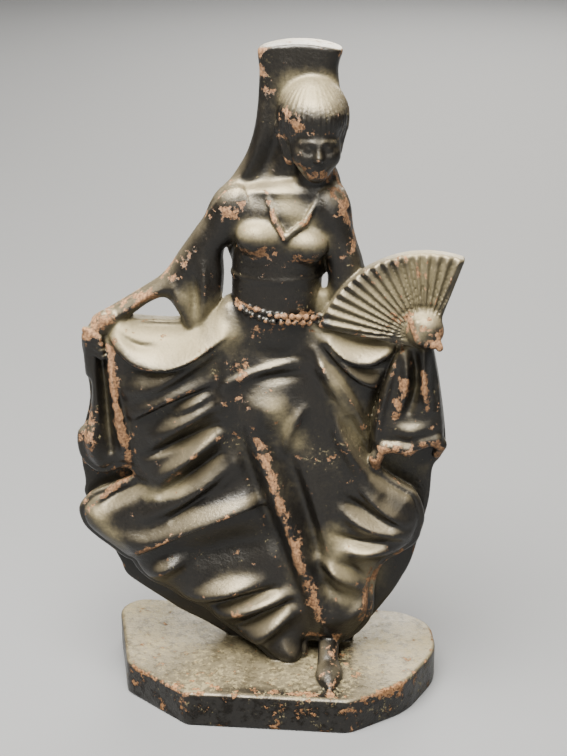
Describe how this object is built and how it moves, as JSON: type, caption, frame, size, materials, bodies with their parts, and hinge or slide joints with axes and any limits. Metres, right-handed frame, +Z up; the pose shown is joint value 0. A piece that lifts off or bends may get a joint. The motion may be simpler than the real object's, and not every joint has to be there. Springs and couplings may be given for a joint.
{
  "type": "figural doorstop",
  "caption": "Cast iron doorstop in the form of a dancer with a high comb and an open fan, spreading a wide skirt, on an elongated plinth with cut corners.",
  "frame": {"origin": "centre of the plinth's underside", "axes": "+Z up, -Y to the figure's front, +X to the side of the fan"},
  "size_m": [0.135, 0.066, 0.2356],
  "materials": {
    "iron": "worn semi-gloss black paint over rusty brown iron, dust in the hollows"
  },
  "bodies": {
    "root": {"dancer_doorstop": "iron"}
  },
  "joints": []
}
